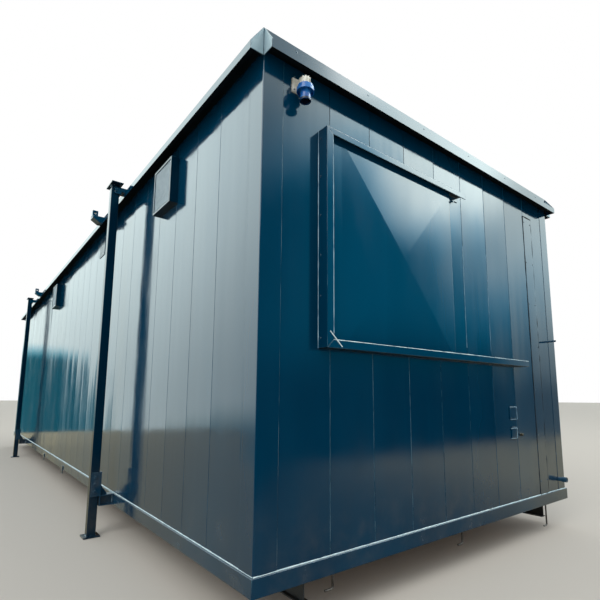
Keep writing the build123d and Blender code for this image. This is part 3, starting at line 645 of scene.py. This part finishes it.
# Each run round a leg goes between two corners of a square
RUNS = (((-1, -1), (1, -1)), ((1, -1), (1, 1)), ((1, 1), (-1, 1)), ((-1, 1), (-1, -1)))
half = 31.5 * MM
short = half - 4 * MM
for leg in LEGS:
    low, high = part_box("jack_leg_" + leg)
    x, y = (low.x + high.x) / 2, (low.y + high.y) / 2
    bm = bmesh.new()
    for z in (10 * MM, high.z - 8 * MM):
        for (from_x, from_y), (to_x, to_y) in RUNS:
            reach = half if from_y == to_y else short
            start = (x + from_x * short, y + from_y * reach, z)
            bead(bm, start, (x + to_x * short, y + to_y * reach, z), 3.5 * MM, *RIPPLE)
    piece("leg_welds_" + leg, bm, WELD, body="jack_leg_" + leg)

# Thin sheets on the fascias' mitred ends, light blue-grey as a painted reflection of the sky, and a
# thin near-black film under the eaves, painted shade
bm = bmesh.new()
sheet = 1.5 * MM
rise, reach, fall = roof_edge_z - eave_z, lip_y - right_y, eave_z - lip_bottom
outer = ((0, rise - 2 * MM), (reach - MM, 0), (reach - MM, MM - fall), (0, MM - fall))
inner = ((MM, MM), (reach - 6 * MM, MM), (MM, rise - 12 * MM))
for way_x in (1, -1):
    for way_y in (1, -1):
        corner_x, corner_y = front_x if way_x > 0 else rear_x, way_y * right_y
        for profile, along_y, (shift_x, shift_y), way in (
            (outer, True, (0, 0), 1), (outer, False, (0, 5 * MM), 1),
            (inner, False, (0, 10 * MM), -1), (inner, True, (5 * MM, 0), -1),
        ):
            if along_y:
                outline = [(0, way_y * out, up) for out, up in profile]
                run = (way * way_x * sheet, 0, 0)
            else:
                outline = [(way_x * out, 0, up) for out, up in profile]
                run = (0, way * way_y * sheet, 0)
            start = (corner_x - way_x * shift_x, corner_y - way_y * shift_y, eave_z)
            extruded(bm, outline, start, run)
piece("fascia_corner_reflection_sheets", bm, CORNER_REFLECTION)

# A thin near-black film under the eaves and the fascia lips: painted shade.
bm = bmesh.new()
film = 0.6 * MM
for z, out, back in (
    (eave_z - 5 * MM, lip_y - 6 * MM, wall_right + MM),
    (lip_bottom, lip_y - 0.5 * MM, lip_y - 24.5 * MM),
):
    for way in (1, -1):
        low_y, high_y = sorted((way * back, way * out))
        block(bm, (rear_x + MM, low_y, z - film), (front_x - MM, high_y, z))
    end_y = right_y - 6 * MM
    for end_x, way in ((front_x, 1), (rear_x, -1)):
        low_x, high_x = sorted((end_x + way * (back - right_y), end_x + way * (out - right_y)))
        block(bm, (low_x, -end_y, z - film), (high_x, end_y, z))
piece("eave_shade_film", bm, SHADE_FILM)

# Light beads on the edges of the two service plates, thicker along the top: a painted highlight
bm = bmesh.new()
left_edge, x = plate_low.y, plate_high.x
for low_z, high_z, right_edge in (
    (plate_low.z, plate_low.z + 73 * MM, plate_high.y - 10 * MM),
    (plate_high.z - 90 * MM, plate_high.z, plate_high.y),
):
    bead_across(bm, x, left_edge, right_edge, high_z, 2.2 * MM, 0.02, 0.3)
    bead_across(bm, x, left_edge, right_edge, low_z, 1.2 * MM, 0.02, 0.3)
    bead_up(bm, x, right_edge, low_z, high_z, 1.6 * MM, 0.02, 0.3)
piece("service_plate_edges", bm, EDGE)

# Power inlet, tap and shutter pull
socket_low, socket_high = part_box("inlet_socket")
inlet_low, inlet_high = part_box("power_inlet")
socket_x, socket_y = (socket_low.x + socket_high.x) / 2, (socket_low.y + socket_high.y) / 2
bore_top = socket_low.z + 54 * MM
bm = bmesh.new()
for k in range(3):
    angle = math.radians(90 + 120 * k)
    off_x, off_y = 11 * MM * math.cos(angle), 11 * MM * math.sin(angle)
    spot = (socket_x + off_x, socket_y + off_y, bore_top)
    turned(bm, spot, (0, 0, -1), in_mm((2.6, 0), (2.6, 34), (1.6, 37)))
piece("inlet_pins", bm, ZINC)
# A near-black disc at the top of the bore, behind the pins: painted shade.
bm = bmesh.new()
profile = in_mm((22.2, 0), (22.2, 8), (20.5, 10))
turned(bm, (socket_x, socket_y, bore_top - 0.5 * MM), (0, 0, -1), profile, 24)
piece("inlet_pin_base", bm, DARK)
bm = bmesh.new()
for y in (inlet_low.y + 8 * MM, inlet_high.y - 8 * MM):
    for z in (inlet_low.z + 9 * MM, inlet_low.z + 79 * MM):
        screw(bm, (wall_front + 14 * MM, y, z), (1, 0, 0), 3 * MM)
piece("inlet_screws", bm, ZINC)
# A dark lip ring and lining in the socket's mouth: painted shade.
bm = bmesh.new()
rolled = in_mm(
    (23.5, 0), (28.5, 0), (29.8, 1.5), (29.8, 10), (27.5, 12.5), (27.5, 0.8), (23.5, 0.8),
)
sleeve = in_mm((22.2, 0.6), (22.9, 0.6), (22.9, 53), (22.2, 53))
for profile in (rolled, sleeve):
    turned(bm, (socket_x, socket_y, socket_low.z), (0, 0, 1), profile, 32, open_ring=True)
piece("inlet_mouth_ring", bm, MOUTH)

tap_low, tap_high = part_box("tap_stub")
y, z = (tap_low.y + tap_high.y) / 2, (tap_low.z + tap_high.z) / 2
bm = bmesh.new()
turned(bm, (tap_high.x, y, z), (1, 0, 0), in_mm((10.5, -9), (10.5, 0), (8, 2)), 6)
turned(bm, (wall_front, y, z), (1, 0, 0), in_mm((14, 0), (14, 2), (10, 3)), 20)
piece("tap_nut", bm, BRASS, bevel=0.5 * MM)

handle_low, handle_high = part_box("shutter_handle")
y, z = (handle_low.y + handle_high.y) / 2, (handle_low.z + handle_high.z) / 2
bm = bmesh.new()
profile = in_mm((9, 0), (9, 2), (6, 3), (6, 14), (9, 17), (7, 22))
turned(bm, (handle_high.x, y, z), (1, 0, 0), profile, 16)
piece("shutter_pull", bm, PAINT_SMALL, body="shutter")

# Window behind the shutter: gasket round the pane, and a bar across it
pane_low, pane_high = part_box("window_glass")
frame_low, frame_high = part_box("window_frame")
bar, lip = 45 * MM, 6 * MM
BAR_SHARE = 0.68
low_y, high_y = frame_low.y + bar, frame_high.y - bar
low_z, high_z = frame_low.z + bar, frame_high.z - bar
bar_z = low_z + (high_z - low_z) * BAR_SHARE
gasket, bars = bmesh.new(), bmesh.new()
for face, way in ((pane_high.x, 1), (pane_low.x, -1)):
    near_x = face + way * 0.3 * MM
    low_x, high_x = sorted((near_x, face + way * 5 * MM))
    for low, high in (
        ((low_y, low_z), (high_y, low_z + lip)), ((low_y, high_z - lip), (high_y, high_z)),
        ((low_y, low_z + lip), (low_y + lip, high_z - lip)),
        ((high_y - lip, low_z + lip), (high_y, high_z - lip)),
    ):
        block(gasket, (low_x, *low), (high_x, *high))
    low_x, high_x = sorted((near_x, face + way * 13 * MM))
    low, high = (low_y + lip, bar_z - 20 * MM), (high_y - lip, bar_z + 20 * MM)
    block(bars, (low_x, *low), (high_x, *high))
piece("window_gasket", gasket, RUBBER)
piece("window_transom", bars, UPVC, bevel=2 * MM)

# Door fittings
leaf_low, leaf_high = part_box("door_leaf")
doorway_low, doorway_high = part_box("door_frame")
bm = bmesh.new()
pin_x = leaf_high.x + 2 * MM
for share in (0.1, 0.5, 0.9):
    z = leaf_low.z + (leaf_high.z - leaf_low.z) * share
    for k in range(3):
        spot = (pin_x, leaf_high.y + 10 * MM, z - 50 * MM + k * 34 * MM)
        profile = in_mm((6, 0), (7.5, 1), (7.5, 32), (6, 33))
        turned(bm, spot, (0, 0, 1), profile, 14)
    low = (pin_x - 45 * MM, leaf_high.y, z - 50 * MM)
    block(bm, low, (pin_x - 6 * MM, leaf_high.y + 3.5 * MM, z + 52 * MM))
piece("door_hinges", bm, ZINC, bevel=0.6 * MM)

bm = bmesh.new()
hood_z = doorway_high.z + 32 * MM
section = in_mm(
    (0, 0), (62, -16), (62, -34), (59.5, -34), (59.5, -18), (2.5, -3), (2.5, 30), (0, 30),
)
outline = [(0, out, up) for out, up in section]
run = (doorway_high.x - doorway_low.x + 80 * MM, 0, 0)
extruded(bm, outline, (doorway_low.x - 40 * MM, wall_right, hood_z), run)
for x in spread(doorway_low.x, doorway_high.x, 220 * MM):
    screw(bm, (x, wall_right + 2.5 * MM, hood_z + 16 * MM), (0, 1, 0), 3.5 * MM)
piece("door_drip_hood", bm, PAINT_SMALL)

bm = bmesh.new()
gap, slit = 3.5 * MM, 0.5 * MM
for low_x, high_x, low_z, high_z in (
    (leaf_low.x - gap, leaf_low.x - slit, leaf_low.z, leaf_high.z),
    (leaf_high.x + slit, leaf_high.x + gap, leaf_low.z, leaf_high.z),
    (leaf_low.x - gap, leaf_high.x + gap, leaf_high.z + slit, leaf_high.z + gap),
):
    block(bm, (low_x, leaf_low.y + 10 * MM, low_z), (high_x, leaf_high.y - 6 * MM, high_z))
piece("door_seal", bm, RUBBER)

bm = bmesh.new()
lock_x, lock_z = leaf_low.x + 60 * MM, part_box("door_handle")[0].z + 45 * MM
barrel = in_mm((11, 0), (11, 4), (8.5, 6), (8.5, 9))
turned(bm, (lock_x, leaf_high.y + 5 * MM, lock_z), (0, 1, 0), barrel, 20)
low = (lock_x - 0.8 * MM, leaf_high.y + 13.5 * MM, lock_z - 5 * MM)
block(bm, low, (lock_x + 0.8 * MM, leaf_high.y + 14.8 * MM, lock_z + 5 * MM))
piece("door_lock", bm, BRASS)

# Roof sheets' laps, which follow the roof's fall from its middle
crown, roof_fall, sheet_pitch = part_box("roof_deck")[1].z, 20 * MM, 1200 * MM
bm = bmesh.new()
section = in_mm((-30, 0), (-27, 2.2), (27, 2.2), (30, 0))
outline = [(along, 0, up) for along, up in section]
lap_y = right_y - 62 * MM
drop = roof_fall * lap_y / (right_y - 5 * MM)
for x in spread(rear_x + 65 * MM, front_x - 65 * MM, sheet_pitch)[1:-1]:
    for way in (1, -1):
        extruded(bm, outline, (x, 0, crown), (0, way * lap_y, -drop))
piece("roof_sheet_laps", bm, ROOF_LAP)


# Stage, lights and camera
def stage_floor(size, z, colour):
    """A plain floor. Gloss shows only the yard near the cabin, and darkness beyond it."""
    bm = bmesh.new()
    bmesh.ops.create_grid(bm, x_segments=1, y_segments=1, size=size)
    mesh = bpy.data.meshes.new("floor")
    bm.to_mesh(mesh)
    bm.free()
    obj = bpy.data.objects.new("floor", mesh)
    obj.location.z = z
    bpy.context.scene.collection.objects.link(obj)
    n = Surface("floor")
    x, y = n.axis(0), n.axis(1)
    glossy = n.add("ShaderNodeLightPath").outputs["Is Glossy Ray"]
    level = n.blend(n.ramp(x, 4.2, 4.8), 0.95, n.ramp(y, -0.2, 4.2, 0.3, 1.35))
    earth = n.mix(level, (0, 0, 0, 1), (0.6, 0.53, 0.33, 1), clamp_factor=False)
    n.set(Base_Color=n.mix(glossy, colour, earth), Roughness=0.9)
    n.set(Specular_IOR_Level=0.1)
    yard_end = n.ramp(y, -0.9, 2.6, 5.9, 7.9)
    near_side = n.ramp(x, -6, 1.5, -6.8, -3.6)
    far_ahead = n.ramp(n.minus(x, yard_end), 0, 1.8)
    far_aside = n.ramp(n.minus(y, near_side), 0, -0.9)
    centre_x, centre_y = 6.5, -0.5
    off_x, off_y = n.minus(x, centre_x), n.minus(y, centre_y)
    apart = n.plus(n.times(off_x, off_x), n.times(off_y, off_y))
    # 215 and 250 are the squares of distances, close to 15 m and 16 m
    far = n.larger(n.larger(far_ahead, far_aside), n.ramp(apart, 215, 250))
    clear = n.add("ShaderNodeBsdfTransparent").outputs[0]
    shaders = {0: n.times(far, glossy), 1: n.shader.outputs[0], 2: clear}
    both = n.add("ShaderNodeMixShader", shaders).outputs[0]
    n.put(n.tree.nodes["Material Output"].inputs["Surface"], both)
    mesh.materials.append(n.mat)


stage_floor(120, -0.001, (0.61, 0.575, 0.51, 1))

# To glossy rays the world is a soft overcast sky: bright above an edge that drops away
# round the cabin, and tinted haze below it. To the camera it is plain white.
world = bpy.data.worlds.new("studio")
bpy.context.scene.world = world
world.use_nodes = True
world.node_tree.nodes.clear()
sky = Nodes(world.node_tree)
way = sky.add("ShaderNodeTexCoord").outputs["Generated"]
across_x, across_y, rise = sky.add("ShaderNodeSeparateXYZ", {0: way}).outputs
behind = sky.ramp(across_x, 0.25, -0.2)
far_end = sky.ramp(across_y, 0.86, 0.92)
turned_away = sky.ramp(across_y, -0.17, -0.28)

# Where the bright sky starts, and how far up it takes to come to its full strength
cloud = sky.noise(2.2, way, rough=0.5)
swing = sky.times(sky.minus(cloud, 0.5), sky.blend(behind, 0.25, 0.04))
edge = sky.ramp(across_y, 0.58, 0.74, 0.385, 0.32)
edge = sky.minus(edge, sky.ramp(across_y, 0.775, 0.86, 0, 0.23))
edge = sky.blend(behind, edge, sky.ramp(across_y, -0.27, -0.17, -0.1, 0.07))
width = sky.ramp(across_y, 0.55, 0.75, 0.22, 0.1)
width = sky.plus(width, sky.ramp(across_y, 0.78, 0.85, 0, 0.2))
width = sky.blend(behind, width, sky.ramp(across_y, -0.5, -0.3, 0.1, 0.035))
bright = sky.ramp(sky.plus(rise, swing), edge, sky.plus(edge, width))

# How strong the bright sky is, ahead of the cabin and behind it
peak = sky.ramp(across_y, 0.42, 0.64, 1.8, 8.5)
peak = sky.minus(peak, sky.ramp(across_y, 0.77, 0.84, 0, 5.2))
peak = sky.times(peak, sky.ramp(rise, 0.56, 0.66, 1.0, 1.35))
calm = sky.ramp(rise, -0.05, 0.5, 1.2, 2.2)
calm = sky.times(calm, sky.ramp(across_y, -0.05, -0.45, 1.0, 1.7))
peak = sky.blend(behind, peak, calm)

# How strong the haze below it is, and its tint
haze = sky.times(sky.ramp(rise, 0.0, 0.2, 0.02, 1.0), sky.ramp(across_y, 0.5, 0.65, 0.4, 1.0))
haze = sky.plus(haze, sky.times(far_end, sky.ramp(rise, 0.0, 0.06, 0.3, 0.6)))
low_light = sky.blend(turned_away, 0.16, 0.85)
low_light = sky.minus(low_light, sky.ramp(across_y, -0.38, -0.5, 0, 0.4))
haze = sky.blend(behind, haze, low_light)
ahead_tint = sky.mix(far_end, (0.0, 0.57, 1.0, 1), (0.8, 0.98, 1.0, 1))
behind_tint = sky.mix(turned_away, (0.1, 0.9, 1.2, 1), (0.75, 1.0, 0.95, 1))
haze_tint = sky.mix(behind, ahead_tint, behind_tint)

# What glossy rays, the camera and all other rays meet
tint = sky.mix(bright, haze_tint, (0.84, 0.98, 0.97, 1))
strength = sky.blend(bright, haze, peak)
mirrored, white, ambient = (
    sky.add("ShaderNodeBackground", {"Color": colour, "Strength": level}).outputs[0]
    for colour, level in ((tint, strength), ((1, 1, 1, 1), 1.0), ((0.93, 0.96, 1, 1), 0.85))
)
path = sky.add("ShaderNodeLightPath").outputs
seen = sky.larger(path["Is Camera Ray"], path["Is Transmission Ray"])
both = sky.add("ShaderNodeMixShader", {0: path["Is Glossy Ray"], 1: ambient, 2: mirrored})
final = sky.add("ShaderNodeMixShader", {0: seen, 1: both.outputs[0], 2: white})
sky.add("ShaderNodeOutputWorld", {0: final.outputs[0]})


def lamp(name, location, target, size, power):
    """A square area lamp that shines at target."""
    data = bpy.data.lights.new(name, "AREA")
    data.size = size
    data.energy = power
    obj = bpy.data.objects.new(name, data)
    obj.location = location
    aim = Vector(target) - Vector(location)
    obj.rotation_euler = aim.to_track_quat("-Z", "Y").to_euler()
    bpy.context.scene.collection.objects.link(obj)


lamp("key", (9, -12, 11), (0, 0, 1), 9, 900)
lamp("fill", (12, 10, 17), (2, 0, 1), 8, 600)

camera_data = bpy.data.cameras.new("camera")
camera_data.sensor_width = 36
camera_data.lens = 26.3932
camera_data.shift_x = -0.019253
camera_data.shift_y = 0.056734
camera_data.clip_end = 300
camera = bpy.data.objects.new("camera", camera_data)
right = Vector((0.623487, 0.781822, 0.004127))
up = Vector((0.108676, -0.091892, 0.989821))
back = Vector((0.774244, -0.616692, -0.142258))
rotation = Matrix((right, up, back)).transposed().to_4x4()
camera.matrix_world = Matrix.Translation((6.523883, -2.537704, 1.040801)) @ rotation
bpy.context.scene.collection.objects.link(camera)
bpy.context.scene.camera = camera
bpy.context.scene.view_settings.view_transform = "Standard"
